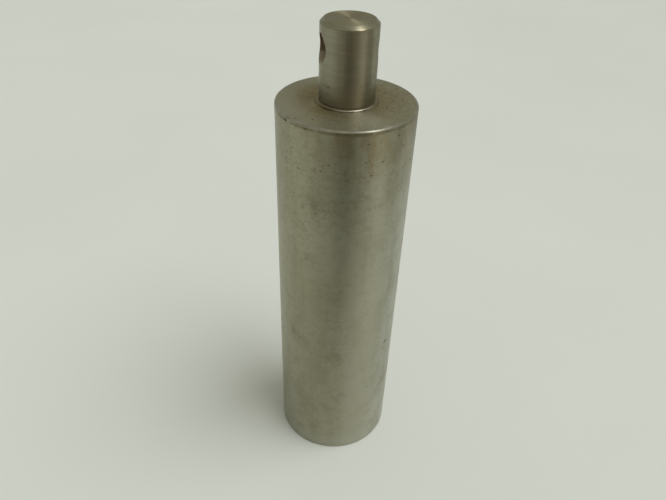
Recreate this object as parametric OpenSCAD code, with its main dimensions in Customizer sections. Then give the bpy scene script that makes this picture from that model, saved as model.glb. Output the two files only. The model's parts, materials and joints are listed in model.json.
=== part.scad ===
// Straight-shank live center: a plain ground housing carries a rotating spindle on a front ball
// bearing, a thrust ball bearing and a rear ball bearing. The bare nose of the spindle stands out
// of the front face and has a cross hole; the shoulder behind it fills the hole in the face.
// Everything is loaded from the rear and is held by a threaded plug and a lock ring.
// The origin is the middle of the rear face, +Z runs along the spindle axis towards the nose.

/* [Housing] */
// Outer diameter of the shank
shank_d = 38.1; // [37:0.1:50]
// Length of the housing, rear face to front face
shank_h = 124.5; // [115:0.5:200]
// Radius of the rounded front rim
rim_r = 0.7; // [0.3:0.1:1.5]
// Radius of the rounded rear rim
base_r = 0.4; // [0.2:0.1:1]
// Thickness of the front wall
front_wall = 6; // [5:0.5:10]

/* [Spindle] */
// Diameter of the nose
nose_d = 15; // [12:0.5:15.5]
// Length of the nose in front of the housing
nose_h = 21; // [18:0.5:40]
// Radius of the fillet at the root of the nose
root_fillet = 0.5; // [0.3:0.1:0.5]
// Diameter of the journal behind the nose
journal_d = 17; // [16.8:0.1:17]
// How far the journal stands in front of the housing
journal_proud = 0.05; // [0:0.05:0.5]
// Diameter of the rear journal
tail_d = 10; // [9:0.5:10]
// Chamfer at the tip of the nose
tip_chamfer = 1; // [0.3:0.1:2]
// Diameter of the cross hole
cross_hole_d = 7; // [4:0.1:8]
// Distance from the tip to the axis of the cross hole
cross_hole_drop = 6.9; // [6:0.1:9]
// Depth of the countersink at each mouth of the cross hole
cross_hole_sink = 0.5; // [0.2:0.05:0.8]

/* [Shaft seal] */
// Gap around the journal in the front wall
front_gap = 0.1; // [0.1:0.05:0.3]
// Outer diameter of the shaft seal
seal_d = 25; // [24:0.5:25]
// Axial width of the shaft seal
seal_h = 3; // [2.5:0.5:3]

/* [Bearings] */
// Outer diameter of all three bearings, and bore of the housing
bearing_d = 30; // [30:0.1:30.1]
// Axial room of the wave spring
spring_room = 1.6; // [1.4:0.1:2]
// Width of the front bearing
front_w = 7; // [7:0.5:8]
// Balls in the front bearing
front_balls = 14; // [9:1:15]
// Height of the thrust bearing
thrust_h = 9; // [9:0.5:10]
// Balls in the thrust bearing
thrust_ball_count = 12; // [8:1:13]
// Width of the rear bearing
rear_w = 9; // [8:0.5:9]
// Balls in the rear bearing
rear_balls = 8; // [6:1:10]

/* [Rear closure] */
// Major diameter of the closing thread
thread_d = 32; // [32:0.1:32.2]
// Pitch of the closing thread
thread_pitch = 1.5; // [1.5:0.5:2]
// Depth of the lock ring below the rear face
lock_recess = 1.5; // [1:0.5:3]
// Thickness of the lock ring
lock_h = 5; // [4:0.5:6]
// Length of the threaded part of the plug
plug_thread_h = 10; // [8:0.5:12]
// Length of the plug's skirt, up to the rear bearing
plug_skirt_h = 6; // [5.5:0.5:8]

/* [Hidden] */
$fn = 96;

// Clearances
slip = 0.015;      // rings in the housing bore, radially
journal_slip = 0.01; // rings on the spindle, radially
race_gap = 0.04;   // between a ball and its groove
pocket_gap = 0.12; // between a ball and its cage pocket
shield_gap = 0.2;  // between a shield and the inner ring
thread_gap = 0.05; // between mating thread flanks

// Radii that several pieces share
nose_r = nose_d / 2;
journal_r = journal_d / 2;
bore_r = bearing_d / 2;
tail_r = tail_d / 2;
ring_r = bore_r - slip;
wall_bore_r = journal_r + front_gap;
seal_r = seal_d / 2;

// Heights from the rear face, front to back
tip_z = shank_h + nose_h;
cross_hole_z = tip_z - cross_hole_drop;
root_z = shank_h + journal_proud;
wall_z = shank_h - front_wall;
seal_z = wall_z - seal_h;
front_z1 = seal_z - spring_room;
front_z0 = front_z1 - front_w;
collar_h = 4;
thrust_z1 = front_z0 - collar_h;
thrust_z0 = thrust_z1 - thrust_h;
lock_z1 = lock_recess + lock_h;
plug_z1 = lock_z1 + plug_thread_h;
rear_z0 = plug_z1 + plug_skirt_h;
rear_z1 = rear_z0 + rear_w;
tail_z = rear_z0 - 3;

// Spindle steps
collar_r = 12;
collar_land_r = 10.2;
collar_land_h = 0.8;
waist_r = journal_r - 0.5;
edge_break = 0.06;
undercut_w = 1.2;
undercut_depth = 0.2;
clip_groove_depth = 0.35;
seam_turn = -15; // start of the turned surfaces, clear of the cross hole

// Bearing proportions: ball radius, pitch radius, and the two ring shoulders
front_ball_r = 1.786;
front_pitch_r = 11.75;
front_inner_r = 10.5;
front_outer_r = 13;
rear_ball_r = 2.381;
rear_pitch_r = 10;
rear_inner_r = 8.3;
rear_outer_r = 11.9;
thrust_ball_r = 2.381;
thrust_pitch_r = 11.75;
washer_h = 2.75;
shaft_washer_r = bore_r - 0.3;
housing_washer_in_r = journal_r + 0.7;
ring_chamfer = 0.3;
shield_t = 0.3;
shield_inset = 0.15; // from the face of the ring to the shield
shield_seat = 0.6;   // how far the shield reaches into the outer ring

// Thread form: 60 degree flanks
thread_r = thread_d / 2;
thread_depth = 0.54 * thread_pitch;
thread_root_r = thread_r - thread_depth;
thread_relief_w = 1.5;
thread_flat = 0.08;  // half of the flat between two teeth
thread_crest = 0.12; // half of the flat on a tooth

// Rear closure
skirt_in_r = 11.6;
skirt_rim_r = 12.7;
plug_floor_h = 7;
o_ring_r = 0.74;
o_ring_pitch_r = bore_r - 0.01 - o_ring_r;
o_ring_z = plug_z1 + 2.4;
lock_in_r = 10.5;
lock_slot_w = 3.5;
lock_slot_h = 2;
spanner_hole_r = 1.9;
spanner_hole_pitch_r = 7;
spanner_hole_h = 4;
screw_r = 3;
screw_h = 6;
screw_socket_af = 3;
screw_socket_h = 2.6;

steel = "#8c8a7c";
bright_steel = "#b9bbbd";
brass = "#b08d57";
rubber = "#2b2b2d";
black_steel = "#4a4a4c";

// ---------------------------------------------------------------- shared shapes

// Rectangular half-section between two radii and two heights, with 45 degree corners of size c;
// a solid piece (r_in = 0) keeps its corners on the axis
module section(r_in, r_out, z0, z1, c = 0) {
    ci = r_in > 0 ? c : 0;
    polygon([[r_in + ci, z0], [r_out - c, z0], [r_out, z0 + c], [r_out, z1 - c],
        [r_out - c, z1], [r_in + ci, z1], [r_in, z1 - ci], [r_in, z0 + ci]]);
}

// What a quarter round of radius r takes off an outer corner at (x, z); up is 1 or -1
module corner_cut(x, z, r, up) {
    difference() {
        translate([x - r, up > 0 ? z - r : z]) square([2 * r, r]);
        translate([x - r, z - up * r]) circle(r);
    }
    translate([x, up > 0 ? z - r : z]) square([r, r]);
}

// Copies its child at the middle of each ball of a ring of n balls
module around(n, pitch_r, z) {
    for (i = [0 : n - 1])
        rotate([0, 0, 360 * i / n]) translate([pitch_r, 0, z]) children();
}

// Half-section of the thread teeth that lie wholly between z0 and z1 on one common pitch grid;
// they point outwards from r to r + depth
module ridges(r, depth, z0, z1) {
    half = thread_pitch / 2 - thread_flat;
    first = ceil((z0 + half) / thread_pitch - 0.5);
    last = floor((z1 - half) / thread_pitch - 0.5);
    for (i = [first : last]) {
        z = (i + 0.5) * thread_pitch;
        polygon([[r - 0.5, z - half], [r, z - half], [r + depth, z - thread_crest],
            [r + depth, z + thread_crest], [r, z + half], [r - 0.5, z + half]]);
    }
}

// Inner ring of a ball bearing
module inner_ring(r_in, shoulder_r, pitch_r, ball_r, z0, w) {
    rotate_extrude() difference() {
        section(r_in, shoulder_r, z0, z0 + w, ring_chamfer);
        translate([pitch_r, z0 + w / 2]) circle(ball_r + race_gap);
    }
}

// Outer ring of a ball bearing, with a seat for a shield at each face
module outer_ring(shoulder_r, pitch_r, ball_r, z0, w) {
    seat_h = shield_inset + shield_t;
    rotate_extrude() difference() {
        section(shoulder_r, ring_r, z0, z0 + w, ring_chamfer);
        translate([pitch_r, z0 + w / 2]) circle(ball_r + race_gap);
        translate([0, z0 - 1]) square([shoulder_r + shield_seat, seat_h + 1]);
        translate([0, z0 + w - seat_h]) square([shoulder_r + shield_seat, seat_h + 1]);
    }
}

// The two pressed shields of a ball bearing
module shields(inner_shoulder_r, outer_shoulder_r, z0, w) {
    r_in = inner_shoulder_r + shield_gap;
    r_out = outer_shoulder_r + shield_seat - slip;
    bead_r = shield_t / 2;
    for (z = [z0 + shield_inset, z0 + w - shield_inset - shield_t])
        rotate_extrude() {
            translate([r_in + bead_r, z]) square([r_out - r_in - 2 * bead_r, shield_t]);
            translate([r_in + bead_r, z + bead_r]) circle(bead_r);
            translate([r_out - bead_r, z + bead_r]) circle(bead_r);
        }
}

module ball_set(n, pitch_r, ball_r, z) {
    around(n, pitch_r, z) sphere(ball_r);
}

// One-piece cage: a band with a ball pocket through it for each ball
module cage(n, pitch_r, ball_r, z, band_w, band_h) {
    difference() {
        rotate_extrude()
            section(pitch_r - band_w / 2, pitch_r + band_w / 2, z - band_h / 2, z + band_h / 2, 0.15);
        around(n, pitch_r, z) sphere(ball_r + pocket_gap);
    }
}

// ---------------------------------------------------------------- housing and front end

module housing() {
    shank_r = shank_d / 2;
    relief_z = plug_z1 + 0.3;
    color(steel) rotate_extrude() difference() {
        square([shank_r, shank_h]);
        corner_cut(shank_r, shank_h, rim_r, 1);
        corner_cut(shank_r, 0, base_r, -1);
        // front bores: spindle clearance with a broken edge, then the seal seat
        translate([0, wall_z - 1]) square([wall_bore_r, front_wall + 2]);
        polygon([[0, shank_h - edge_break], [wall_bore_r, shank_h - edge_break],
            [wall_bore_r + 2 * edge_break, shank_h + edge_break], [0, shank_h + edge_break]]);
        translate([0, seal_z - 1]) square([seal_r + slip, seal_h + 1]);
        // bearing bore, from the thread relief to the front shoulder
        translate([0, relief_z]) square([bore_r, seal_z - relief_z]);
        // thread relief, thread core and lead-in at the rear
        translate([0, relief_z - 0.2]) square([thread_r + 0.1, thread_relief_w]);
        translate([0, -1]) square([thread_root_r + thread_gap, relief_z + 1]);
        ridges(thread_root_r + thread_gap, thread_depth + thread_gap, 0, relief_z);
        polygon([[0, -1], [thread_r + 1.3, -1], [thread_root_r, thread_depth + 0.4], [0, thread_depth + 0.4]]);
    }
}

// Pressed cup of the shaft seal
module seal_case() {
    case_t = 0.5;
    color(bright_steel) rotate_extrude() difference() {
        section(journal_r + 1.4, seal_r, seal_z + 0.05, wall_z - 0.02, 0.12);
        translate([0, seal_z - 1]) square([seal_r - case_t, seal_h + 1 - case_t]);
    }
}

// Rubber lip, moulded inside the cup, that runs on the journal
module seal_lip() {
    lip_r = journal_r + 0.05;
    cup_r = seal_r - 0.52;
    cup_z = wall_z - 0.54;
    color(rubber) rotate_extrude() polygon([
        [cup_r, seal_z + 0.25], [cup_r, cup_z], [lip_r + 1.2, cup_z], [lip_r + 0.35, cup_z - 0.2],
        [lip_r, cup_z - 0.7], [lip_r + 0.3, cup_z - 1.1], [lip_r + 0.9, cup_z - 1.3],
        [lip_r + 1.3, seal_z + 0.7], [cup_r - 0.5, seal_z + 0.25]]);
}

// Wavy spring washer that keeps the thrust bearing loaded
module wave_spring() {
    waves = 4;
    steps = 96;
    strip_t = 0.35;
    r_in = front_outer_r + 0.4;
    r_out = ring_r - 0.15;
    mid_z = (front_z1 + seal_z) / 2;
    swing = (spring_room - strip_t) / 2 - 0.02;
    function ring_points(i) =
        let (a = 360 * i / steps, z = mid_z + swing * sin(waves * a), h = strip_t / 2)
        [[r_in * cos(a), r_in * sin(a), z - h], [r_out * cos(a), r_out * sin(a), z - h],
            [r_out * cos(a), r_out * sin(a), z + h], [r_in * cos(a), r_in * sin(a), z + h]];
    points = [for (i = [0 : steps - 1]) each ring_points(i)];
    faces = [for (i = [0 : steps - 1], k = [0 : 3])
        let (j = (i + 1) % steps, m = (k + 1) % 4)
        each [[4 * i + k, 4 * i + m, 4 * j + m], [4 * i + k, 4 * j + m, 4 * j + k]]];
    color(bright_steel) polyhedron(points = points, faces = faces);
}

// ---------------------------------------------------------------- front bearing

front_mid_z = front_z0 + front_w / 2;

module front_bearing_outer_ring() {
    color(bright_steel) outer_ring(front_outer_r, front_pitch_r, front_ball_r, front_z0, front_w);
}

module front_bearing_inner_ring() {
    color(bright_steel)
        inner_ring(journal_r + journal_slip, front_inner_r, front_pitch_r, front_ball_r, front_z0, front_w);
}

module front_bearing_balls() {
    color(bright_steel) ball_set(front_balls, front_pitch_r, front_ball_r, front_mid_z);
}

module front_bearing_cage() {
    color(brass) cage(front_balls, front_pitch_r, front_ball_r, front_mid_z, 1.3, 4.6);
}

module front_bearing_shields() {
    color(bright_steel) shields(front_inner_r, front_outer_r, front_z0, front_w);
}

// ---------------------------------------------------------------- thrust bearing

thrust_mid_z = thrust_z0 + thrust_h / 2;

// Flat ring with a ball groove in one face
module thrust_washer(r_in, r_out, z0) {
    rotate_extrude() difference() {
        section(r_in, r_out, z0, z0 + washer_h, ring_chamfer);
        translate([thrust_pitch_r, thrust_mid_z]) circle(thrust_ball_r + race_gap);
    }
}

module thrust_shaft_washer() {
    color(bright_steel) thrust_washer(journal_r + journal_slip, shaft_washer_r, thrust_z1 - washer_h);
}

module thrust_housing_washer() {
    color(bright_steel) thrust_washer(housing_washer_in_r, ring_r, thrust_z0);
}

module thrust_balls() {
    color(bright_steel) ball_set(thrust_ball_count, thrust_pitch_r, thrust_ball_r, thrust_mid_z);
}

module thrust_cage() {
    color(brass) cage(thrust_ball_count, thrust_pitch_r, thrust_ball_r, thrust_mid_z, 5.2, 1.8);
}

// ---------------------------------------------------------------- rear bearing and sleeve

rear_mid_z = rear_z0 + rear_w / 2;

module rear_bearing_outer_ring() {
    color(bright_steel) outer_ring(rear_outer_r, rear_pitch_r, rear_ball_r, rear_z0, rear_w);
}

module rear_bearing_inner_ring() {
    color(bright_steel)
        inner_ring(tail_r + journal_slip, rear_inner_r, rear_pitch_r, rear_ball_r, rear_z0, rear_w);
}

module rear_bearing_balls() {
    color(bright_steel) ball_set(rear_balls, rear_pitch_r, rear_ball_r, rear_mid_z);
}

module rear_bearing_cage() {
    color(brass) cage(rear_balls, rear_pitch_r, rear_ball_r, rear_mid_z, 1.5, 5.8);
}

module rear_bearing_shields() {
    color(bright_steel) shields(rear_inner_r, rear_outer_r, rear_z0, rear_w);
}

// Tube that carries the thrust load from the housing washer to the plug
module spacer_sleeve() {
    relief_margin = 7;
    color(bright_steel) rotate_extrude() difference() {
        section(rear_outer_r + shield_seat + 0.1, ring_r, rear_z1, thrust_z0, 0.3);
        translate([ring_r - 0.4, rear_z1 + relief_margin])
            square([1, thrust_z0 - rear_z1 - 2 * relief_margin]);
    }
}

// ---------------------------------------------------------------- rear closure

module retaining_plug() {
    thread_z0 = lock_z1;
    groove_h = 2 * o_ring_r + 0.5;
    color(black_steel) difference() {
        rotate_extrude() difference() {
            union() {
                section(0, thread_root_r, thread_z0, plug_z1);
                ridges(thread_root_r, thread_depth - thread_gap, thread_z0, plug_z1);
                section(0, ring_r - 0.03, plug_z1 - 0.01, rear_z0, 0.2);
            }
            translate([0, thread_z0 + plug_floor_h]) square([skirt_in_r, plug_thread_h + plug_skirt_h]);
            translate([0, rear_z0 - 1]) square([skirt_rim_r, 2]);
            translate([o_ring_pitch_r - o_ring_r - 0.01, o_ring_z - groove_h / 2]) square([3, groove_h]);
        }
        translate([0, 0, thread_z0 - 1]) cylinder(r = screw_r + slip, h = plug_floor_h + 2);
        for (a = [0, 180])
            rotate([0, 0, a]) translate([spanner_hole_pitch_r, 0, thread_z0 - 1])
                cylinder(r = spanner_hole_r, h = spanner_hole_h + 1);
    }
}

module plug_o_ring() {
    color(rubber) rotate_extrude() translate([o_ring_pitch_r, o_ring_z]) circle(o_ring_r);
}

module lock_ring() {
    color(black_steel) difference() {
        rotate_extrude() difference() {
            union() {
                section(lock_in_r, thread_root_r, lock_recess, lock_z1);
                ridges(thread_root_r, thread_depth - thread_gap, lock_recess, lock_z1);
            }
            polygon([[lock_in_r - 1, lock_recess - 1], [lock_in_r + 0.5, lock_recess - 1],
                [lock_in_r + 0.5, lock_recess], [lock_in_r - 1, lock_recess + 1.5]]);
        }
        for (a = [0, 90])
            rotate([0, 0, a]) translate([-thread_d / 2, -lock_slot_w / 2, lock_recess - 1])
                cube([thread_d, lock_slot_w, lock_slot_h + 1]);
    }
}

// Set screw that closes the greasing hole
module grease_screw() {
    z0 = lock_z1 + 0.5;
    color(black_steel) difference() {
        rotate_extrude() section(0, screw_r, z0, z0 + screw_h, 0.4);
        translate([0, 0, z0 - 1])
            cylinder(d = screw_socket_af / cos(30), h = screw_socket_h + 1, $fn = 6);
    }
}

// ---------------------------------------------------------------- spindle

// External retaining ring in the groove behind the rear bearing
clip_h = 1;
clip_z1 = rear_z0 - 0.05;

module tail_circlip() {
    clip_in_r = tail_r - clip_groove_depth + 0.02;
    clip_out_r = tail_r + 1.6;
    ear_r = 1.5;
    ear_pitch_r = clip_out_r - 0.3;
    ear_angle = 16;
    gap_half_angle = 9;
    color(black_steel) difference() {
        union() {
            translate([0, 0, clip_z1 - clip_h]) cylinder(r = clip_out_r, h = clip_h);
            for (a = [-ear_angle, ear_angle])
                rotate([0, 0, a]) translate([ear_pitch_r, 0, clip_z1 - clip_h]) cylinder(r = ear_r, h = clip_h);
        }
        translate([0, 0, clip_z1 - clip_h - 1]) cylinder(r = clip_in_r, h = clip_h + 2);
        for (a = [-ear_angle, ear_angle])
            rotate([0, 0, a]) translate([ear_pitch_r + 0.1, 0, clip_z1 - clip_h - 1])
                cylinder(r = 0.6, h = clip_h + 2);
        linear_extrude(rear_z1) polygon([[0, 0],
            [12 * cos(gap_half_angle), -12 * sin(gap_half_angle)],
            [12 * cos(gap_half_angle), 12 * sin(gap_half_angle)]]);
    }
}

// Half-section of the turned spindle, before the cross hole
module spindle_section() {
    centre_r = 1.8;
    difference() {
        union() {
            section(0, nose_r, root_z - 1, tip_z);
            translate([0, root_z - 1]) square([nose_r + root_fillet, 1 + root_fillet]);
            section(0, journal_r, thrust_z0 - 2, root_z, edge_break);
            section(0, collar_r, thrust_z1, front_z0 - collar_land_h, 0.3);
            section(0, collar_land_r, thrust_z1 + 1, front_z0);
            section(0, waist_r, rear_z1, thrust_z0);
            section(0, tail_r, tail_z, rear_z1 + 1);
        }
        translate([nose_r + root_fillet, root_z + root_fillet]) circle(root_fillet);
        // tip chamfer
        polygon([[nose_r - tip_chamfer, tip_z], [nose_r, tip_z - tip_chamfer],
            [nose_r + 1, tip_z - tip_chamfer], [nose_r + 1, tip_z + 1], [nose_r - tip_chamfer, tip_z + 1]]);
        // undercuts beside the collar and the rear bearing seat
        for (z = [front_z0, thrust_z1 - undercut_w])
            translate([journal_r - undercut_depth, z]) square([5, undercut_w]);
        translate([tail_r - undercut_depth, rear_z1 - undercut_w]) square([3, undercut_w]);
        // circlip groove, chamfer and centre hole at the tail
        translate([tail_r - clip_groove_depth, clip_z1 - clip_h - 0.05]) square([3, clip_h + 0.1]);
        polygon([[tail_r - 0.6, tail_z], [tail_r, tail_z + 0.6], [tail_r + 1, tail_z + 0.6],
            [tail_r + 1, tail_z - 1], [tail_r - 0.6, tail_z - 1]]);
        polygon([[0, tail_z - 1], [centre_r + 1 / sqrt(3), tail_z - 1],
            [centre_r, tail_z], [0, tail_z + centre_r * sqrt(3)]]);
    }
}

module spindle() {
    sink_r = cross_hole_d / 2 + cross_hole_sink;
    color(steel) difference() {
        rotate([0, 0, seam_turn]) rotate_extrude() spindle_section();
        translate([0, 0, cross_hole_z]) rotate([0, 90, 0]) {
            cylinder(d = cross_hole_d, h = nose_d + 4, center = true);
            for (end = [0, 1])
                mirror([0, 0, end]) translate([0, 0, nose_r - sink_r])
                    cylinder(r1 = 0, r2 = 2 * sink_r, h = 2 * sink_r);
        }
    }
}

housing();
seal_case();
seal_lip();
wave_spring();
front_bearing_outer_ring();
front_bearing_inner_ring();
front_bearing_balls();
front_bearing_cage();
front_bearing_shields();
thrust_shaft_washer();
thrust_balls();
thrust_cage();
thrust_housing_washer();
spacer_sleeve();
rear_bearing_outer_ring();
rear_bearing_inner_ring();
rear_bearing_balls();
rear_bearing_cage();
rear_bearing_shields();
tail_circlip();
retaining_plug();
plug_o_ring();
lock_ring();
grease_screw();
spindle();
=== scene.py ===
"""Straight-shank live center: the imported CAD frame, finished outer pieces, materials, lights and camera."""
import json
import math
import random

import bmesh
import bpy
from mathutils import Matrix, Vector


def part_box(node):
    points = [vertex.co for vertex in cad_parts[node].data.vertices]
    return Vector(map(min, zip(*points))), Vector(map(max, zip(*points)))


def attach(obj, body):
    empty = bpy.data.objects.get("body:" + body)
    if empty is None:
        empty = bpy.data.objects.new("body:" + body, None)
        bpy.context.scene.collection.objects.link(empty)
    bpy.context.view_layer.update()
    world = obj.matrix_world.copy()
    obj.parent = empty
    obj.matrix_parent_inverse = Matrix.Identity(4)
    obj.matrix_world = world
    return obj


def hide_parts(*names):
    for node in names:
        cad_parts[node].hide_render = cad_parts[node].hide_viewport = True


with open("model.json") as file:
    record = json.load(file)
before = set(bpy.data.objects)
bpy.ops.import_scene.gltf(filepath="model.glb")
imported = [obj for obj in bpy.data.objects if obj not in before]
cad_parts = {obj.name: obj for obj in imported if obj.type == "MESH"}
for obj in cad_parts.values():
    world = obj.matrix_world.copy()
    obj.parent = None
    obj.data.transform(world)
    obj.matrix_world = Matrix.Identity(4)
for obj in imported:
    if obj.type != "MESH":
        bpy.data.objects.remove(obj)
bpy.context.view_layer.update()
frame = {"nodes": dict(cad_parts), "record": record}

MM = 0.001
mounts = {m["name"]: m for m in frame["record"]["mounts"]}
nodes = frame["nodes"]

# ---------------------------------------------------------------- sizes, in millimetres

shank_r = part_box("housing")[1].x / MM
shank_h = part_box("housing")[1].z / MM
nose_r = mounts["nose"]["dims"]["r_mm"]
tip_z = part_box("spindle")[1].z / MM
tail_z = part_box("spindle")[0].z / MM
hole_r = mounts["cross_hole"]["dims"]["r_mm"]
hole_z = mounts["cross_hole"]["pos_m"][2] / MM
slip = 0.015  # between a ring or the seal and the bore that holds it, radially
bore_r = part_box("front_bearing_outer_ring")[1].x / MM + slip
journal_r = 8.5
seal_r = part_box("seal_case")[1].x / MM + slip
seal_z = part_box("seal_case")[0].z / MM - 0.05  # the step that the seal's bore ends in
wall_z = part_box("seal_case")[1].z / MM + 0.02  # the back of the front wall
collar_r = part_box("spindle")[1].x / MM
front_z0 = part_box("front_bearing_inner_ring")[0].z / MM
thrust_z0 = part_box("thrust_housing_washer")[0].z / MM
thrust_z1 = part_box("thrust_shaft_washer")[1].z / MM
rear_z0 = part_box("rear_bearing_inner_ring")[0].z / MM
rear_z1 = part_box("rear_bearing_inner_ring")[1].z / MM
clip_z0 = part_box("tail_circlip")[0].z / MM - 0.05  # the low side of the circlip's groove
skirt_h = 6
plug_z1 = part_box("retaining_plug")[1].z / MM - skirt_h  # the top of the plug's thread

rim_r = 0.7
base_r = 0.4
wall_bore_r = journal_r + 0.1
lip_r = journal_r + 0.035  # the mouth of the wall bore, closed up by grime
edge_break = 0.03  # the chamfer on small hidden edges
root_z = shank_h + 0.05
root_fillet = 0.5
tip_chamfer = 1.0
hole_sink = 0.5

SEGMENTS = 256
ROW = 0.5  # height of one row of faces where a surface carries dents

# ---------------------------------------------------------------- mesh making


def arc(cx, cz, r, start, end, steps):
    """Points of an arc in the r-z plane, angles in degrees from +r towards +z."""
    turns = [math.radians(start + (end - start) * i / steps) for i in range(steps + 1)]
    return [(cx + r * math.cos(t), cz + r * math.sin(t)) for t in turns]


def rows(r, low, high, step):
    """Points up a straight wall of radius r, without its two ends."""
    count = max(1, round((high - low) / step))
    return [(r, low + (high - low) * i / count) for i in range(1, count)]


def lathe(name, runs, segments=SEGMENTS):
    """A turned solid. runs is a list of (material index, points); the runs follow each other round the
    half-section, and each one's material covers the faces from its first point to the next run's."""
    outline, slots = [], []
    for index, points in runs:
        outline += points
        slots += [index] * len(points)
    mesh = bmesh.new()
    rings = []
    for r, z in outline:
        if r < 1e-6:
            rings.append([mesh.verts.new((0, 0, z * MM))])
            continue
        turns = [2 * math.pi * k / segments for k in range(segments)]
        rings.append([mesh.verts.new((r * math.cos(t) * MM, r * math.sin(t) * MM, z * MM)) for t in turns])
    for i, ring in enumerate(rings):
        above = rings[(i + 1) % len(rings)]
        if len(ring) == 1 and len(above) == 1:
            continue
        for k in range(segments):
            n = (k + 1) % segments
            corners = [ring[k % len(ring)], ring[n % len(ring)]]
            corners += [above[n % len(above)], above[k % len(above)]]
            corners = [v for j, v in enumerate(corners) if v not in corners[:j]]
            mesh.faces.new(corners).material_index = slots[i]
    bmesh.ops.recalc_face_normals(mesh, faces=mesh.faces)
    data = bpy.data.meshes.new(name)
    mesh.to_mesh(data)
    mesh.free()
    piece = bpy.data.objects.new(name, data)
    bpy.context.scene.collection.objects.link(piece)
    return piece


def smooth(piece, angle=32):
    """Smooth shading, with edges over that angle kept sharp."""
    data = piece.data
    data.polygons.foreach_set("use_smooth", [True] * len(data.polygons))
    data.set_sharp_from_angle(angle=math.radians(angle))


def cut(piece, cutter):
    """Takes the cutter's solid out of the piece, for good."""
    modifier = piece.modifiers.new("cut", "BOOLEAN")
    modifier.operation = "DIFFERENCE"
    modifier.solver = "EXACT"
    modifier.object = cutter
    bpy.context.view_layer.update()
    result = bpy.data.meshes.new_from_object(piece.evaluated_get(bpy.context.evaluated_depsgraph_get()))
    piece.modifiers.clear()
    piece.data = result
    bpy.data.objects.remove(cutter)


def dress(piece, *materials):
    """Gives the piece these materials. Clearing sets every face to the first one, so a piece that has
    none yet, and whose faces are already sorted, isn't cleared."""
    if len(piece.data.materials):
        piece.data.materials.clear()
    for material in materials:
        piece.data.materials.append(material)


def stand_for(piece, node, body):
    """The piece rides on the body in place of the CAD node, which is hidden."""
    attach(piece, body)
    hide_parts(node)


# ---------------------------------------------------------------- material making


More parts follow.
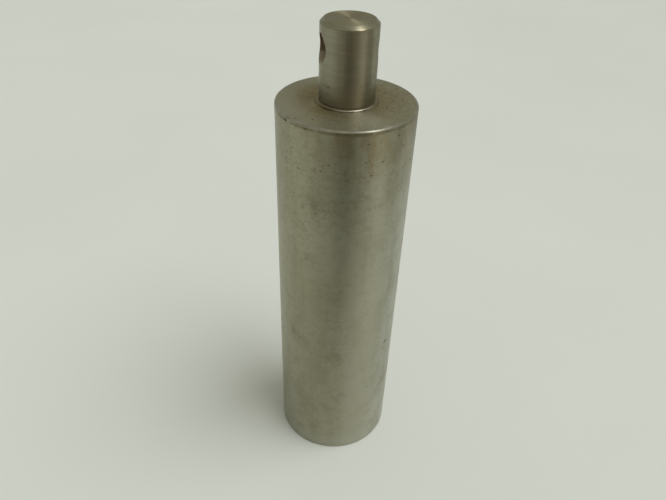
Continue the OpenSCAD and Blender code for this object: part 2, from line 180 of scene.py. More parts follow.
class Shader:
    """A node material with short names for the nodes used here. Lengths inside it are in millimetres."""

    def __init__(self, name):
        self.material = bpy.data.materials.new(name)
        self.material.use_nodes = True
        self.tree = self.material.node_tree
        self.tree.nodes.clear()
        output = self.tree.nodes.new("ShaderNodeOutputMaterial")
        self.bsdf = self.tree.nodes.new("ShaderNodeBsdfPrincipled")
        self.tree.links.new(self.bsdf.outputs[0], output.inputs["Surface"])
        where = self.tree.nodes.new("ShaderNodeTexCoord").outputs["Object"]
        self.place = self.vector("SCALE", where, scale=1 / MM)
        split = self.tree.nodes.new("ShaderNodeSeparateXYZ")
        self.tree.links.new(self.place, split.inputs[0])
        self.x, self.y, self.z = split.outputs
        self.radius = self.math("SQRT", self.math("ADD", self.math("MULTIPLY", self.x, self.x),
                                                  self.math("MULTIPLY", self.y, self.y)))

    def feed(self, socket, value):
        """Links a socket's output, or sets a plain value."""
        if isinstance(value, bpy.types.NodeSocket):
            self.tree.links.new(value, socket)
        else:
            socket.default_value = value

    def vector(self, operation, a, b=None, scale=None):
        made = self.tree.nodes.new("ShaderNodeVectorMath")
        made.operation = operation
        self.feed(made.inputs[0], a)
        if b is not None:
            self.feed(made.inputs[1], b)
        if scale is not None:
            made.inputs["Scale"].default_value = scale
        return made.outputs["Value" if operation == "DISTANCE" else "Vector"]

    def math(self, operation, a, b=None, clamp=False):
        made = self.tree.nodes.new("ShaderNodeMath")
        made.operation = operation
        made.use_clamp = clamp
        self.feed(made.inputs[0], a)
        if b is not None:
            self.feed(made.inputs[1], b)
        return made.outputs[0]

    def times(self, first, *others):
        """The product of the values."""
        for other in others:
            first = self.math("MULTIPLY", first, other)
        return first

    def most(self, first, *others):
        """The largest of the values."""
        for other in others:
            first = self.math("MAXIMUM", first, other)
        return first

    def linear(self, value, base, gain):
        """base where the value is 0, and base + gain where it is 1."""
        return self.math("ADD", base, self.math("MULTIPLY", value, gain))

    def fade(self, value, low, high, to_low=0.0, to_high=1.0):
        """Goes smoothly from to_low, where value is low, to to_high, where it is high."""
        made = self.tree.nodes.new("ShaderNodeMapRange")
        made.interpolation_type = "SMOOTHSTEP"
        for socket, number in zip(made.inputs, (value, low, high, to_low, to_high)):
            self.feed(socket, number)
        return made.outputs[0]

    def noise(self, scale, detail=2.0, rough=0.5, shift=(0, 0, 0)):
        """Noise with scale cycles per millimetre along x, y and z."""
        spot = self.vector("ADD", self.vector("MULTIPLY", self.place, scale), shift)
        made = self.tree.nodes.new("ShaderNodeTexNoise")
        self.feed(made.inputs["Vector"], spot)
        made.inputs["Scale"].default_value = 1.0
        made.inputs["Detail"].default_value = detail
        made.inputs["Roughness"].default_value = rough
        return made.outputs[0]

    def cells(self, scale, shift=(0, 0, 0)):
        """Distance to the nearest cell centre, in millimetres, and two random numbers of that cell."""
        spot = self.vector("ADD", self.vector("MULTIPLY", self.place, (scale,) * 3), shift)
        made = self.tree.nodes.new("ShaderNodeTexVoronoi")
        self.feed(made.inputs["Vector"], spot)
        made.inputs["Scale"].default_value = 1.0
        pick = self.tree.nodes.new("ShaderNodeSeparateColor")
        self.tree.links.new(made.outputs["Color"], pick.inputs[0])
        return self.math("DIVIDE", made.outputs["Distance"], scale), pick.outputs[0], pick.outputs[1]

    def mix(self, factor, a, b, blend="MIX"):
        """a where the factor is 0 and b where it is 1; a and b are colours or sockets."""
        made = self.tree.nodes.new("ShaderNodeMix")
        made.data_type = "RGBA"
        made.blend_type = blend
        made.clamp_factor = True
        self.feed(made.inputs[0], factor)
        for socket, value in zip((made.inputs[6], made.inputs[7]), (a, b)):
            self.feed(socket, value if isinstance(value, bpy.types.NodeSocket) else (*value, 1.0))
        return made.outputs[2]

    def paint(self, color, layers):
        """Lays tones over a colour, one after another. Each layer is (mask, weight, tone)."""
        for mask, weight, tone in layers:
            color = self.mix(self.math("MULTIPLY", mask, weight), color, tone)
        return color

    def bump(self, height, distance, strength=1.0, below=None):
        """height is 0 to 1, and distance is what 1 stands for, in millimetres."""
        made = self.tree.nodes.new("ShaderNodeBump")
        made.inputs["Strength"].default_value = strength
        made.inputs["Distance"].default_value = distance * MM
        self.feed(made.inputs["Height"], height)
        if below is not None:
            self.tree.links.new(below, made.inputs["Normal"])
        return made.outputs[0]

    def turned(self, amount):
        """Anisotropy for a surface finished round the Z axis: dull across the marks, sharp along them."""
        made = self.tree.nodes.new("ShaderNodeTangent")
        made.direction_type = "RADIAL"
        made.axis = "Z"
        self.tree.links.new(made.outputs[0], self.bsdf.inputs["Tangent"])
        self.bsdf.inputs["Anisotropic"].default_value = amount
        self.bsdf.inputs["Anisotropic Rotation"].default_value = 0.25  # of a turn

    def spots(self, places, core=0.55, ragged=0.0, flat=1.0):
        """1 in the core of each spot (azimuth in degrees, distance from the axis, height, radius), 0
        outside. ragged pushes the outlines in and out by about that share of the radius, and flat makes
        the spots that many times as long across as up."""
        best = None
        wobble = self.noise((0.5, 0.5, 0.5), 4.0, 0.65, (6, 6, 2)) if ragged else 0.5
        push = self.math("MULTIPLY", self.math("SUBTRACT", wobble, 0.5), 4 * ragged)
        stretch = (1 / math.sqrt(flat), 1 / math.sqrt(flat), math.sqrt(flat))
        here = self.vector("MULTIPLY", self.place, stretch)
        for azimuth, r, z, size in places:
            t = math.radians(azimuth)
            centre = Vector((r * math.sin(t), -r * math.cos(t), z)) * Vector(stretch)
            gap = self.vector("DISTANCE", here, centre)
            gap = self.math("ADD", gap, self.math("MULTIPLY", push, size))
            one = self.fade(gap, size * core, size, 1.0, 0.0)
            best = one if best is None else self.math("MAXIMUM", best, one)
        return best

    def finish(self, color, roughness, metallic=1.0, normal=None):
        if not isinstance(color, bpy.types.NodeSocket):
            color = (*color, 1.0)
        self.feed(self.bsdf.inputs["Base Color"], color)
        self.feed(self.bsdf.inputs["Roughness"], roughness)
        self.feed(self.bsdf.inputs["Metallic"], metallic)
        if normal is not None:
            self.tree.links.new(normal, self.bsdf.inputs["Normal"])
        return self.material


def pits(s, scale, share, small, large, where, shift=(0, 0, 0)):
    """Round corrosion pits, 0 to 1 deep: a share of the cells hold one, with a radius between small and
    large, where the mask is high."""
    gap, chance, size = s.cells(scale, shift)
    ragged = s.noise((0.54 / large,) * 3, 2.0, 0.6, shift)
    gap = s.math("ADD", gap, s.math("MULTIPLY", s.math("SUBTRACT", ragged, 0.5), large * 0.9))
    radius = s.linear(size, small, large - small)
    depth = s.math("SUBTRACT", 1.0, s.math("DIVIDE", gap, radius), clamp=True)
    allowed = s.math("GREATER_THAN", s.math("MULTIPLY", chance, where), 1 - share)
    return s.math("MULTIPLY", s.math("SQRT", depth), allowed)


# Each mark: azimuth in degrees (0 faces -Y, 90 faces +X), distance from the axis, height and radius in mm
PITS = [
    (-67, 19, 123.6, 0.85), (-46, 19, 123.6, 0.55), (-20, 19, 123.7, 0.4), (18, 19, 123.7, 0.45),
    (44, 19, 123.9, 0.4), (43, 19, 46.5, 0.9), (3, 19, 121, 0.42), (2, 19, 116, 0.4),
    (5, 19, 116.2, 0.35), (-32, 19, 113, 0.4), (-26, 19, 115, 0.4), (-52, 19, 112, 0.4),
    (16, 19, 115.5, 0.42), (21, 19, 29.5, 0.6), (18, 19, 31.5, 0.32), (7, 19, 112.1, 0.45),
    (40, 19, 44, 0.4), (-57, 19, 104, 0.35), (-36, 19, 100, 0.38), (-29, 19, 99, 0.35),
    (-12, 19, 107.5, 0.35), (30, 19, 121.5, 0.4), (37, 19, 118, 0.38), (52, 19, 112, 0.4),
]
FACE_PITS = [
    (92, 13.6, 124.5, 0.65), (83, 15, 124.5, 0.6), (94, 17.3, 124.5, 0.6), (59, 11, 124.5, 0.55),
    (101, 15.4, 124.5, 0.5), (76, 12.4, 124.5, 0.45), (110, 16.8, 124.5, 0.5), (64, 14.2, 124.5, 0.4),
    (-59, 17.6, 124.5, 0.45), (-47, 15.2, 124.5, 0.4), (108, 12.2, 124.5, 0.45), (70, 16.6, 124.5, 0.4),
    (-126, 9.9, 124.5, 0.6), (-112, 9.4, 124.5, 0.45),
]
# soft smudges on the wall
PATCHES = [
    (13, 19, 39.5, 1.8), (-9, 19, 28, 4.5), (-51, 19, 7, 3.5), (-24, 19, 23, 2.2), (-60, 19, 52, 4),
    (30, 19, 66, 3), (-14, 19, 47, 5), (-40, 19, 84, 5), (-36, 19, 103, 5),
]
# where fine specks gather on the wall
CLUSTERS = [(-40, 19, 97, 10), (-34, 19, 113, 6), (-62, 19, 115, 8), (50, 19, 109, 11), (14, 19, 118, 7)]
# the run of rust: azimuth in degrees, lowest and highest point, half width
STREAK = (7, 111.8, 122, 0.8)


def streak(s, azimuth, low, high, width):
    """A thin run of rust down the wall."""
    t = math.radians(azimuth)
    flat = s.vector("MULTIPLY", s.place, (1, 1, 0))
    gap = s.vector("DISTANCE", flat, (shank_r * math.sin(t), -shank_r * math.cos(t), 0))
    across = s.fade(gap, width * 0.3, width, 1.0, 0.0)
    return s.times(across, s.fade(s.z, low - 0.6, low + 0.4), s.fade(s.z, high - 1.5, high, 1.0, 0.0))


def side_factor(s, azimuth, half_width):
    """1 where the surface faces that azimuth, 0 from half_width degrees away."""
    t = math.radians(azimuth)
    along = s.math("ADD", s.math("MULTIPLY", s.x, math.sin(t)), s.math("MULTIPLY", s.y, -math.cos(t)))
    cosine = s.math("DIVIDE", along, s.math("MAXIMUM", s.radius, 0.01))
    return s.fade(cosine, math.cos(math.radians(half_width)), 1.0)


def wall_tone(s, mottle, lines):
    """The wall's colour, with mottling, grinding marks and a cooler tone low down, and painted reflections
    and shade: paler on the right and on the left, greyer high on the right.
    """
    smudge = s.noise((0.045, 0.045, 0.035), 3.0, 0.55, (11, 2, 6))
    runs = s.noise((0.35, 0.35, 0.03), 3.0, 0.6, (8, 1, 5))
    bands = s.noise((0.05, 0.05, 0.9), 2.0, 0.5, (7, 3, 1))
    blots = s.fade(s.noise((0.5, 0.5, 0.6), 3.5, 0.68, (13, 4, 4)), 0.5, 0.64)
    blots = s.times(blots, s.fade(s.x, -2, 8, 1.0, 0.45))
    low_down = s.fade(s.z, 75, 15)
    left = s.times(s.fade(s.x, -10, -18), s.fade(s.z, 80, 45, 0.0, 0.45), s.fade(s.z, 12, 38, 0.3, 1.0))
    right_top_shade = s.times(s.fade(s.x, 4, 17), s.fade(s.z, 108, 123))
    color = s.mix(s.fade(smudge, 0.35, 0.7), (0.35, 0.338, 0.247), (0.392, 0.381, 0.293))
    return s.paint(color, [
        (low_down, 0.6, (0.355, 0.346, 0.272)),
        # painted reflections: paler on the right, most of all low down, and paler on the left below the
        # middle
        (s.fade(s.x, 4, 15), s.fade(s.z, 123, 90), (0.47, 0.475, 0.415)),
        (s.fade(s.x, 3, 13), s.fade(s.z, 32, 4, 0.0, 0.75), (0.56, 0.56, 0.50)),
        (left, 1.0, (0.44, 0.43, 0.345)),
        # painted shade: greyer high on the right
        (right_top_shade, 0.7, (0.34, 0.345, 0.285)),
        (s.fade(mottle, 0.44, 0.66), s.linear(low_down, 0.35, 0.3), (0.285, 0.27, 0.18)),
        (s.fade(runs, 0.45, 0.7), 0.35, (0.28, 0.268, 0.175)),
        (blots, s.fade(s.z, 30, 105, 0.28, 0.42), (0.235, 0.205, 0.12)),
        (s.fade(lines, 0.4, 0.7), 0.22, (0.45, 0.44, 0.35)),
        (s.fade(bands, 0.45, 0.7), 0.16, (0.27, 0.26, 0.18)),
    ])


def wall_clusters(s):
    """Where fine specks and pits gather."""
    loose = s.fade(s.noise((0.09, 0.09, 0.07), 2.0, 0.5, (5, 5, 20)), 0.46, 0.7, 0.0, 0.5)
    return s.most(loose, s.spots(CLUSTERS, 0.1, 0.3))


def wall_dirt_and_shade(s, color, clusters):
    """Fine specks, grime below the front rim and soft smudges, with painted shade: a dark band just under the
    front rim, and a darker foot.
    """
    speck = s.noise((0.9, 0.9, 1.0), 5.0, 0.72, (2, 7, 7))
    cloud = s.fade(s.noise((0.3, 0.3, 0.14), 4.0, 0.6, (1, 1, 8)), 0.36, 0.6)
    grime = s.times(s.fade(s.z, 106, 123.5), cloud, s.linear(side_factor(s, 22, 80), 0.25, 0.75))
    grime = s.times(grime, s.fade(s.z, 123.9, 124.1, 1.0, 0.0))
    gaps = s.fade(s.noise((0.5, 0.5, 0.2), 3.0, 0.6, (9, 9, 1)), 0.25, 0.5)
    # painted shade: a dark band just under the front rim, broken up by noise
    edge = s.times(s.fade(s.z, 122.9, 123.5), s.fade(s.z, 123.85, 124.0, 1.0, 0.0), gaps)
    # painted shadow: darker along the foot, where the wall meets the floor
    foot = s.times(s.fade(s.z, 1.3, 0.3), 0.25)
    # the smudges, with the painted shade of the rim band and of the foot
    soft = s.most(s.times(s.spots(PATCHES, -0.2, 0.8), 0.6), edge, foot)
    return s.paint(color, [
        (s.fade(speck, 0.52, 0.64), s.linear(clusters, 0.1, 0.5), (0.19, 0.17, 0.105)),
        (grime, 0.7, (0.275, 0.225, 0.135)),
        (soft, 0.6, (0.16, 0.145, 0.085)),
    ])


def wall_rust(s):
    patchy = s.fade(s.noise((0.9, 0.9, 0.32), 4.0, 0.7, (4, 4, 4)), 0.4, 0.6, 0.1, 1.0)
    return s.math("MULTIPLY", streak(s, *STREAK), patchy)


def wall_pits(s, clusters):
    where = s.times(s.linear(clusters, 0.54, 0.44), s.fade(s.z, 45, 110, 0.55, 1.0))
    holes = s.most(pits(s, 0.6, 0.44, 0.1, 0.28, where), pits(s, 1.3, 0.36, 0.06, 0.15, where, (40, 8, 3)))
    return s.most(s.times(s.fade(holes, 0.0, 0.6), 0.55), s.spots(PITS, 0.32, 0.4, 2.2))


def wall_painted_light(s, color):
    """Painted reflections and shade: broad lighter and darker tones fixed to single sides of the wall, and a
    paler foot where the floor is reflected.
    """
    low = s.times(s.fade(s.z, 88, 66), s.fade(s.z, 2, 22))
    half_way = s.times(s.fade(s.z, 72, 86), s.fade(s.z, 104, 92))
    color = s.paint(color, [
        # painted shade: darker low on the left front; painted reflections: paler low in front, paler half way
        # up in front, and a paler foot
        (s.times(side_factor(s, -37, 30), low), 0.4, (0.27, 0.256, 0.17)),
        (side_factor(s, 14, 30), s.fade(s.z, 100, 66, 0.0, 0.4), (0.47, 0.462, 0.375)),
        (s.times(side_factor(s, -18, 32), half_way), 0.42, (0.44, 0.43, 0.34)),
        (s.fade(s.z, 9, 2, 0.0, 0.4), 1.0, (0.45, 0.455, 0.395)),
    ])
    return s.mix(1.0, color, (1.035, 1.035, 1.03), "MULTIPLY")


def ground_steel():
    """The wall: fine marks round it, olive-brown mottling, specks, pits, a run of rust, and broad painted
    reflections and shade.
    """
    s = Shader("ground_steel")
    lines = s.noise((0.3, 0.3, 3.2), 4.0, 0.7)
    mottle = s.noise((0.17, 0.17, 0.13), 5.0, 0.62, (3, 9, 4))
    clusters = wall_clusters(s)
    rust = wall_rust(s)
    dark = wall_pits(s, clusters)
    color = wall_dirt_and_shade(s, wall_tone(s, mottle, lines), clusters)
    color = s.paint(color, [(rust, 0.75, (0.235, 0.165, 0.07)), (dark, 0.8, (0.075, 0.055, 0.03))])
    color = wall_painted_light(s, color)
    rough = s.math("ADD", s.linear(mottle, 0.29, 0.1), s.math("MULTIPLY", dark, 0.3))
    metal = s.linear(s.most(dark, rust), 1.0, -0.6)
    normal = s.bump(lines, 0.004, 0.35)
    normal = s.bump(s.math("SUBTRACT", 1.0, dark), 0.08, 0.7, normal)
    s.turned(0.8)
    return s.finish(color, rough, metal, normal)


def ring_marks(s, count):
    """Noise that depends on the radius alone, count cycles per millimetre."""
    made = s.tree.nodes.new("ShaderNodeTexNoise")
    made.noise_dimensions = "1D"
    s.feed(made.inputs["W"], s.math("MULTIPLY", s.radius, count))
    made.inputs["Detail"].default_value = 3.0
    return made.outputs[0]


def face_stain(s):
    """1 where the front face is stained: round the root of the nose, and out to both sides."""
    right = s.times(s.fade(s.radius, 8.5, 17.5, 1.0, 0.1), side_factor(s, 100, 110))
    left = s.times(s.fade(s.radius, 8.5, 17, 1.0, 0.0), side_factor(s, -108, 88))
    return s.most(s.fade(s.radius, 8.5, 15, 0.6, 0.0), right, left)


def face_pits(s):
    where = s.linear(s.fade(s.x, 2, 14), 0.55, 0.45)
    large = pits(s, 0.6, 0.4, 0.12, 0.3, where, (9, 1, 2))
    small = pits(s, 1.5, 0.3, 0.06, 0.13, where, (1, 30, 8))
    return s.most(s.fade(s.most(large, small), 0.0, 0.5), s.spots(FACE_PITS, 0.05, 0.45))


def faced_steel():
    """The front face: circular marks, dull from handling, with a brown stain round the root of the nose and a
    painted highlight in front of it.
    """
    s = Shader("faced_steel")
    marks = ring_marks(s, 4.0)
    blotch = s.noise((0.24, 0.24, 0.24), 4.0, 0.62, (2, 5, 1))
    fine = s.noise((1.3, 1.3, 1.3), 4.0, 0.65, (6, 2, 1))
    mixed = s.math("ADD", s.math("MULTIPLY", blotch, 0.7), s.math("MULTIPLY", fine, 0.3))
    grit = s.fade(s.noise((1.5, 1.5, 1.5), 4.0, 0.7, (12, 3, 3)), 0.5, 0.62)
    scratch = s.fade(s.noise((0.9, 2.4, 1.0), 4.0, 0.75, (3, 14, 6)), 0.5, 0.62)
    stain = face_stain(s)
    dark = face_pits(s)
    color = s.mix(s.fade(marks, 0.3, 0.7), (0.281, 0.269, 0.177), (0.362, 0.349, 0.242))
    color = s.paint(color, [
        (stain, 0.92, (0.268, 0.213, 0.085)),
        (s.times(stain, s.fade(mixed, 0.39, 0.56)), 0.8, (0.205, 0.145, 0.045)),
        (grit, s.fade(s.x, -12, 0, 0.3, 0.62), (0.185, 0.155, 0.08)),
        (scratch, s.fade(s.x, -12, 0, 0.25, 0.6), (0.47, 0.46, 0.36)),
        # painted highlight: paler in front of the root of the nose
        (side_factor(s, 8, 23), s.fade(s.radius, 18, 13, 0.1, 0.5), (0.45, 0.44, 0.35)),
        (side_factor(s, -82, 26), 0.16, (0.44, 0.43, 0.345)),
        (side_factor(s, 62, 60), 0.4, (0.25, 0.226, 0.125)),
        (dark, 0.9, (0.10, 0.045, 0.018)),
    ])
    s.turned(0.74)
    normal = s.bump(marks, 0.004, 0.5)
    return s.finish(color, s.linear(stain, 0.46, 0.05), s.linear(dark, 0.82, -0.3), normal)


def ring_steel():
    """The end of the journal at the root of the nose: a painted highlight in front, and dark brown at the
    sides, partly stain and partly painted shade.
    """
    s = Shader("ring_steel")
    patch = s.noise((0.8, 0.8, 0.8), 3.0, 0.6, (1, 6, 6))
    # painted highlight in front, fading to the painted shade and stain at the sides
    bright = s.math("MULTIPLY", side_factor(s, 4, 54), s.fade(patch, 0.3, 0.55, 0.6, 1.0))
    color = s.mix(bright, (0.19, 0.158, 0.08), (0.535, 0.515, 0.42))
    return s.finish(color, 0.36, 1.0, s.bump(patch, 0.01, 0.3))


def turned_steel():
    """The nose: fine turning marks round it, a brown band down the front painted as a dark reflection, and
    painted shade in the corner at its root.
    """
    s = Shader("turned_steel")
    feed_mm = 0.22
    lines = s.noise((0.12, 0.12, 5.0), 3.0, 0.65)
    feed = s.math("SINE", s.math("MULTIPLY", s.z, 2 * math.pi / feed_mm))
    bands = s.noise((0.04, 0.04, 1.4), 2.0, 0.5, (3, 8, 2))
    haze = s.noise((0.2, 0.2, 0.12), 3.0, 0.5, (6, 1, 9))
    corner_z = root_z + root_fillet
    # painted shade: darker in the corner at the root of the nose
    corner = s.math("MULTIPLY", s.fade(s.z, corner_z + 0.7, corner_z + 0.1),
                    s.fade(s.radius, nose_r + 0.12, nose_r + 0.05))
    holes = s.fade(pits(s, 0.6, 0.12, 0.08, 0.22, 1.0, (2, 2, 7)), 0.0, 0.5)
    dark = s.most(holes, s.spots([(-54, nose_r, 130, 0.35)]), s.math("MULTIPLY", corner, 0.75))
    color = s.mix(s.fade(haze, 0.35, 0.7), (0.265, 0.25, 0.178), (0.298, 0.286, 0.213))
    color = s.paint(color, [
        # painted reflection: a darker brown band down the front
        (side_factor(s, -2, 42), s.fade(haze, 0.3, 0.6, 0.5, 0.9), (0.25, 0.205, 0.135)),
        (s.fade(lines, 0.35, 0.7), 0.3, (0.42, 0.40, 0.31)),
        (s.fade(bands, 0.45, 0.7), 0.3, (0.22, 0.20, 0.135)),
        (dark, 0.85, (0.06, 0.045, 0.03)),
    ])
    normal = s.bump(s.math("ADD", s.math("MULTIPLY", feed, 0.25), lines), 0.006, 0.5)
    normal = s.bump(s.math("SUBTRACT", 1.0, dark), 0.06, 0.6, normal)
    s.turned(0.8)
    return s.finish(color, s.linear(haze, 0.27, 0.1), s.linear(dark, 1.0, -0.5), normal)


def tip_steel():
    """The flat end of the nose: circular marks and a brown haze."""
    s = Shader("tip_steel")
    marks = ring_marks(s, 5.0)
    haze = s.noise((0.25, 0.25, 0.25), 3.0, 0.5, (1, 4, 3))
    color = s.mix(s.fade(marks, 0.3, 0.7), (0.335, 0.312, 0.212), (0.395, 0.367, 0.26))
    color = s.mix(s.math("MULTIPLY", s.fade(haze, 0.4, 0.7), 0.4), color, (0.285, 0.25, 0.155))
    s.turned(0.8)
    return s.finish(color, 0.6, 1.0, s.bump(marks, 0.006, 0.6))


def rusty_bore():
    """The wall of the cross hole: dull brown rust, patchy, and paler low down, painted as the light on the
    lower wall.
    """
    s = Shader("hole_steel")
    patch = s.noise((0.5, 0.5, 0.5), 4.0, 0.6, (3, 3, 3))
    color = s.mix(s.fade(patch, 0.38, 0.6), (0.30, 0.235, 0.16), (0.20, 0.13, 0.095))
    # painted light: paler on the lower wall of the hole
    color = s.mix(s.fade(s.z, hole_z - 1.2, hole_z - 2.4), color, (0.46, 0.39, 0.28))
    return s.finish(color, 0.55, s.fade(patch, 0.4, 0.6, 0.75, 0.3), s.bump(patch, 0.08, 0.6))


def machined(name, light, dark, rough, spin=0.3, grain=3.0):
    """Plain machined metal: slight tone changes and fine marks round the axis."""
    s = Shader(name)
    marks = s.noise((0.4, 0.4, grain), 3.0, 0.6)
    cloud = s.noise((0.15, 0.15, 0.15), 3.0, 0.5, (4, 4, 4))
    both = s.math("ADD", s.math("MULTIPLY", marks, 0.5), s.math("MULTIPLY", cloud, 0.5))
    color = s.mix(s.fade(both, 0.35, 0.65), dark, light)
    s.turned(spin)
    return s.finish(color, s.linear(marks, rough - 0.04, 0.08), 1.0, s.bump(marks, 0.003, 0.5))


def polished(name, light, dark, rough):
    """Smooth metal with slight tone changes."""
    s = Shader(name)
    cloud = s.noise((0.5, 0.5, 0.5), 3.0, 0.5)
    color = s.mix(s.fade(cloud, 0.35, 0.65), dark, light)
    return s.finish(color, s.linear(cloud, rough, 0.04), 1.0, s.bump(cloud, 0.002, 0.3))


def nitrile():
    """Black rubber with a fine grain."""
    s = Shader("nitrile_rubber")
    grain = s.noise((3.0, 3.0, 3.0), 4.0, 0.6)
    color = s.mix(s.fade(grain, 0.4, 0.7), (0.018, 0.018, 0.019), (0.04, 0.04, 0.041))
    return s.finish(color, s.linear(grain, 0.5, 0.15), 0.0, s.bump(grain, 0.02, 0.5))


# ---------------------------------------------------------------- camera

CAMERA_AT = (-37.1, -143.5, 185.9)  # millimetres
HEADING = -13.66  # degrees from +Y, anticlockwise seen from above
PITCH = 36.79  # degrees below the horizon
ROLL = -2.07
LENS = 31.9  # millimetres, on a 36 mm sensor


def make_camera():
    data = bpy.data.cameras.new("camera")
    data.sensor_width = 36.0
    data.lens = LENS
    data.clip_start = 0.01
    data.clip_end = 20.0
    camera = bpy.data.objects.new("camera", data)
    bpy.context.scene.collection.objects.link(camera)
    turn = Matrix.Rotation(math.radians(HEADING), 4, "Z")
    tilt = Matrix.Rotation(math.radians(90 - PITCH), 4, "X")
    roll = Matrix.Rotation(math.radians(-ROLL), 4, "Z")
    camera.matrix_world = Matrix.Translation(Vector(CAMERA_AT) * MM) @ turn @ tilt @ roll
    bpy.context.scene.camera = camera


make_camera()

# ---------------------------------------------------------------- outer pieces


def dent(piece, centres):
    """Presses shallow pits into a dense wall: (azimuth, height, radius, depth) each, in millimetres."""
    for vertex in piece.data.vertices:
        p = vertex.co / MM
        on_wall = math.hypot(p.x, p.y) >= shank_r - 0.01
        if not on_wall or not base_r < p.z < shank_h - rim_r:
            continue
        for azimuth, z, size, depth in centres:
            t = math.radians(azimuth)
            gap = math.dist(p, (shank_r * math.sin(t), -shank_r * math.cos(t), z))
            if gap < size:
                push = depth * (1 - (gap / size) ** 2) ** 2
                vertex.co -= Vector((p.x, p.y, 0)).normalized() * push * MM
                break


def thread_points(root_r, depth, low, high, pitch=1.5, flat=0.08, crest=0.12):
    """Outline of the female teeth from high down to low."""
    points = []
    for i in reversed(range(round((high - low) / pitch))):
        z = low + (i + 0.5) * pitch
        points += [(root_r, z + pitch / 2 - flat), (root_r + depth, z + crest),
                   (root_r + depth, z - crest), (root_r, z - pitch / 2 + flat)]
    return points


def housing_runs():
    """The half-section of the housing. Materials: 0 wall, 1 end faces, 2 inside, 3 bright edge."""
    rim_x = shank_r - rim_r
    rim_z = shank_h - rim_r
    mouth_r = 16.345  # the chamfered mouth of the thread in the rear face
    mouth_z = 1.16
    thread_z = 1.5
    thread_root_r = bore_r + 0.24
    thread_depth = 0.86
    relief_r = bore_r + 1.1
    relief_z = plug_z1 + 0.3
    neck_h = 0.4  # the length of the tight mouth round the journal, with its run-out
    return [
        (1, [(mouth_r, 0)]),
        (0, arc(shank_r - base_r, base_r, base_r, -90, 0, 6)),
        (0, rows(shank_r, base_r, rim_z, ROW)),
        (0, arc(rim_x, rim_z, rim_r, 0, 27, 3)),
        (3, arc(rim_x, rim_z, rim_r, 36, 81, 5)),
        (1, [(r, shank_h) for r in (rim_x, 17, 15, 13, 11, 9.8, lip_r + edge_break)]),
        (1, [(lip_r, shank_h - edge_break), (lip_r, shank_h - neck_h + 0.1)]),
        (2, [(wall_bore_r, shank_h - neck_h), (wall_bore_r, wall_z), (seal_r, wall_z), (seal_r, seal_z),
             (bore_r, seal_z), (bore_r, relief_z + 1.3), (relief_r, relief_z + 1.3),
             (relief_r, relief_z - 0.2), (thread_root_r, relief_z - 0.2)]),
        (2, thread_points(thread_root_r, thread_depth, thread_z, relief_z - 0.3)),
        (2, [(thread_root_r, mouth_z)]),
    ]


def make_housing(*materials):
    piece = lathe("housing_shell", housing_runs())
    dice = random.Random(7)
    spots = [(azimuth, z, size * 1.6, 0.05) for azimuth, _, z, size in PITS]
    ranges = ((-180, 180), (60, 122), (0.7, 1.1), (0.02, 0.05))  # azimuth, height, radius, depth
    for _ in range(40):
        spots.append([dice.uniform(least, greatest) for least, greatest in ranges])
    dent(piece, spots)
    smooth(piece)
    dress(piece, *materials)
    stand_for(piece, "housing", "housing")


def hole_cutter():
    """The cross hole with a countersink and a softened lip at each mouth, along X."""
    reach = nose_r + 3
    mouth = hole_r + hole_sink
    lip = 0.06
    cone = [(0, -reach), (mouth + 3, -reach), (mouth, -nose_r), (hole_r + lip, -nose_r + hole_sink - lip)]
    wall_x = nose_r - hole_sink - 2 * lip
    wall = [(hole_r, -wall_x), (hole_r, wall_x)]
    cutter = lathe("cutter", [(0, cone), (3, wall), (0, [(r, -x) for r, x in reversed(cone)])], 96)
    across = Matrix.Rotation(math.radians(90), 4, "Y")
    cutter.data.transform(Matrix.Translation((0, 0, hole_z * MM)) @ across)
    return cutter


def shaft_points():
    """The half-section of the spindle behind the front wall, from the tail up."""
    tail_r = 5
    tail_chamfer = 0.6
    groove_r = tail_r - 0.35
    waist_r = journal_r - 0.5
    journal_z = thrust_z0 - 2
    chamfer = 0.3
    land_r = 10.2
    land_z = front_z0 - 0.8
    cut_w = 1.2  # undercuts beside the bearing seats
    cut_d = 0.2
    return [
        (tail_r - tail_chamfer, tail_z), (tail_r, tail_z + tail_chamfer), (tail_r, clip_z0),
        (groove_r, clip_z0), (groove_r, rear_z0), (tail_r, rear_z0),
        (tail_r, rear_z1 - cut_w), (tail_r - cut_d, rear_z1 - cut_w), (tail_r - cut_d, rear_z1),
        (waist_r, rear_z1), (waist_r, journal_z),
        (journal_r - edge_break, journal_z), (journal_r, journal_z + edge_break),
        (journal_r, thrust_z1 - cut_w), (journal_r - cut_d, thrust_z1 - cut_w),
        (journal_r - cut_d, thrust_z1), (collar_r - chamfer, thrust_z1), (collar_r, thrust_z1 + chamfer),
        (collar_r, land_z - chamfer), (collar_r - chamfer, land_z), (land_r, land_z), (land_r, front_z0),
        (journal_r - cut_d, front_z0), (journal_r - cut_d, front_z0 + cut_w), (journal_r, front_z0 + cut_w),
    ]


def root_arc(start, end, steps):
    """A part of the fillet at the root of the nose."""
    return arc(nose_r + root_fillet, root_z + root_fillet, root_fillet, start, end, steps)


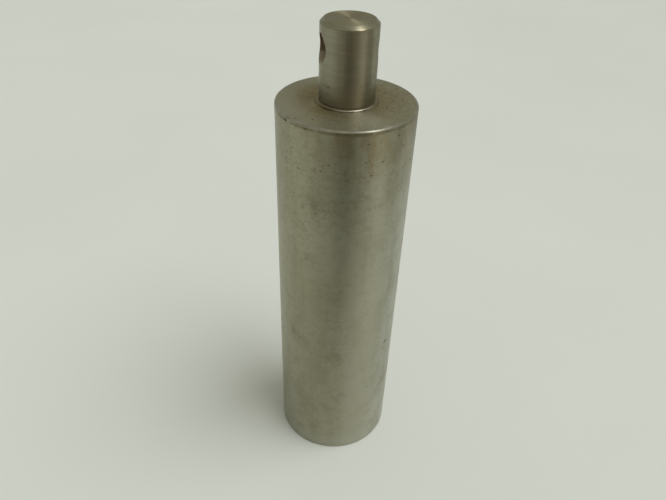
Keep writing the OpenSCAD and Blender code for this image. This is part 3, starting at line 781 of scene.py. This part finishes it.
def spindle_runs():
    """The half-section of the spindle. Materials: 0 nose, 1 tip, 2 inside, 4 stained, 5 chamfer, 6 root
    ring. 3 is the cross hole, which the cutter brings."""
    centre_r = 1.8  # the centre hole in the tail
    chamfer_z = tip_z - tip_chamfer - 0.12
    chamfer_r = nose_r - tip_chamfer - 0.12
    blend = 0.3  # the radius that softens both ends of the chamfer
    return [
        (2, [(0, tail_z + centre_r * math.sqrt(3)), (centre_r, tail_z)]),
        (2, shaft_points()),
        (6, [(journal_r, root_z - 0.1), (journal_r - 0.03, root_z - 0.03), (journal_r - 0.1, root_z)]),
        (6, root_arc(270, 225, 4)),
        (4, root_arc(215, 208, 1)),
        (0, root_arc(200, 180, 2)),
        (0, rows(nose_r, root_z + root_fillet, chamfer_z - 0.03, ROW)),
        (0, arc(nose_r - blend, chamfer_z, blend, 0, 30, 3)),
        (5, [(nose_r - 0.088, tip_z - tip_chamfer + 0.09)]),
        (5, arc(chamfer_r, tip_z - blend, blend, 45, 80, 4)),
        (1, [(r, tip_z) for r in (chamfer_r, 5, 3.5, 2, 1, 0)]),
    ]


def make_spindle(*materials):
    piece = lathe("spindle_shaft", spindle_runs(), 192)
    dress(piece, *materials)
    cut(piece, hole_cutter())
    smooth(piece)
    stand_for(piece, "spindle", "spindle")


ground = ground_steel()
faced = faced_steel()
turned = turned_steel()
tip = tip_steel()
hole_steel = rusty_bore()
edge_steel = machined("edge_steel", (0.43, 0.42, 0.355), (0.285, 0.275, 0.21), 0.39, 0.15)
chamfer_steel = machined("chamfer_steel", (0.36, 0.34, 0.245), (0.285, 0.268, 0.18), 0.35, 0.1)
bore_steel = machined("bore_steel", (0.46, 0.45, 0.42), (0.33, 0.32, 0.29), 0.38)
bearing_steel = machined("bearing_steel", (0.66, 0.66, 0.65), (0.56, 0.56, 0.55), 0.18, 0.2, 5.0)
ball_steel = polished("ball_steel", (0.76, 0.76, 0.77), (0.68, 0.68, 0.69), 0.07)
pressed_steel = machined("pressed_steel", (0.62, 0.62, 0.60), (0.52, 0.52, 0.50), 0.28, 0.2)
sleeve_steel = machined("sleeve_steel", (0.52, 0.51, 0.48), (0.40, 0.39, 0.36), 0.34, 0.5)
spring_steel = machined("spring_steel", (0.14, 0.15, 0.19), (0.08, 0.085, 0.11), 0.3, 0.2)
cage_brass = machined("cage_brass", (0.66, 0.48, 0.20), (0.54, 0.37, 0.14), 0.26, 0.4)
black_steel = machined("black_steel", (0.075, 0.075, 0.08), (0.035, 0.035, 0.038), 0.42, 0.3)
rubber = nitrile()

make_housing(ground, faced, bore_steel, edge_steel)
make_spindle(turned, tip, bore_steel, hole_steel, faced, chamfer_steel, ring_steel())

FINISHES = {
    "bearing_steel": bearing_steel, "ball_steel": ball_steel, "pressed_steel": pressed_steel,
    "sleeve_steel": sleeve_steel, "spring_steel": spring_steel, "cage_brass": cage_brass,
    "black_steel": black_steel, "nitrile_rubber": rubber, "ground_steel": ground, "turned_steel": turned,
}
for part in frame["record"]["subparts"]:
    dress(nodes[part["node"]], FINISHES[part["material_slot"]])
    smooth(nodes[part["node"]], 40)

# ---------------------------------------------------------------- floor and light

SKY = 0.42
SKY_COLOR = (1.0, 1.0, 0.87, 1)
# what the flag darkens: middle azimuth, full within and gone beyond (degrees either side of it), distance
# from the axis at which it starts and at which it is full (mm), depth
FLAG = [
    (-13, 5, 22, 70, 190, 0.25),
    (-18, 14, 62, 20, 170, 0.27),
    (14, 6, 30, 110, 210, 0.19),
    (74, 6, 28, 225, 285, 0.3),
    (-142, 12, 36, 130, 230, 0.08),
    (135, 12, 36, 215, 280, 0.2),
]


def make_floor():
    s = Shader("floor")
    cloud = s.noise((0.008, 0.008, 0.008), 3.0, 0.5)
    color = s.mix(s.fade(cloud, 0.35, 0.65), (0.689, 0.711, 0.665), (0.703, 0.725, 0.68))
    # painted shadow: the floor is a little darker in front of the object
    shaded = s.math("MULTIPLY", s.fade(s.radius, 190, 20), side_factor(s, 5, 100))
    color = s.mix(s.math("MULTIPLY", shaded, 0.06), color, (0.36, 0.37, 0.335))
    material = s.finish(color, 0.6, 0.0)
    mesh = bmesh.new()
    bmesh.ops.create_grid(mesh, x_segments=4, y_segments=4, size=3.0)
    data = bpy.data.meshes.new("floor")
    mesh.to_mesh(data)
    mesh.free()
    floor = bpy.data.objects.new("floor", data)
    bpy.context.scene.collection.objects.link(floor)
    floor.location.z = -0.02 * MM  # just clear of the foot
    dress(floor, material)


def sun(name, azimuth, elevation, strength, width, tint=(1, 1, 1)):
    """A broad far light, width degrees across; azimuth 0 is towards -Y and 90 towards +X."""
    data = bpy.data.lights.new(name, "SUN")
    data.energy = strength
    data.angle = math.radians(width)
    data.color = tint
    light = bpy.data.objects.new(name, data)
    bpy.context.scene.collection.objects.link(light)
    a = math.radians(azimuth)
    e = math.radians(elevation)
    away = Vector((math.sin(a) * math.cos(e), -math.cos(a) * math.cos(e), math.sin(e)))
    light.location = away * 2
    light.rotation_mode = "QUATERNION"
    light.rotation_quaternion = away.to_track_quat("Z", "Y")
    return light


def make_lights():
    """One sun lights the floor and other matt surfaces, and the other is only seen in reflections."""
    key = sun("key", azimuth=61, elevation=61, strength=1.725, width=44, tint=(0.98, 0.985, 1.0))
    key.visible_glossy = False
    window = sun("window", azimuth=43, elevation=50, strength=0.72, width=21)
    window.visible_diffuse = False


def make_world():
    world = bpy.data.worlds.new("world")
    world.use_nodes = True
    back = world.node_tree.nodes["Background"]
    back.inputs["Color"].default_value = SKY_COLOR
    back.inputs["Strength"].default_value = SKY
    bpy.context.scene.world = world


def flag_shade(s):
    """1 where the flag is clear, and less where it darkens what is seen through it."""
    turn = s.math("ARCTAN2", s.x, s.math("MULTIPLY", s.y, -1))
    shade = 1.0
    for middle, full, gone, near, far, depth in FLAG:
        off = s.math("ABSOLUTE", s.math("SUBTRACT", turn, math.radians(middle)))
        side = s.fade(off, math.radians(full), math.radians(gone), 1.0, 0.0)
        shade = s.math("SUBTRACT", shade, s.times(side, s.fade(s.radius, near, far), depth))
    return shade


def make_flag():
    """A see-through disc just above the floor, met by reflections only: it darkens the floor in them, away
    from the object, as darker surroundings would."""
    s = Shader("flag")
    clear = s.tree.nodes.new("ShaderNodeBsdfTransparent")
    s.tree.links.new(s.mix(flag_shade(s), (0.05, 0.04, 0), (1, 1, 1)), clear.inputs[0])
    s.tree.links.new(clear.outputs[0], s.tree.nodes["Material Output"].inputs["Surface"])
    s.tree.nodes.remove(s.bsdf)
    inner = 20
    outer = 1500
    low = 0.5
    high = 0.6
    piece = lathe("flag", [(0, [(inner, low), (outer, low), (outer, high), (inner, high)])], 64)
    dress(piece, s.material)
    for kind in ("camera", "diffuse", "transmission", "volume_scatter", "shadow"):
        setattr(piece, "visible_" + kind, False)


make_floor()
make_world()
make_flag()
make_lights()
bpy.context.scene.view_settings.view_transform = "Standard"
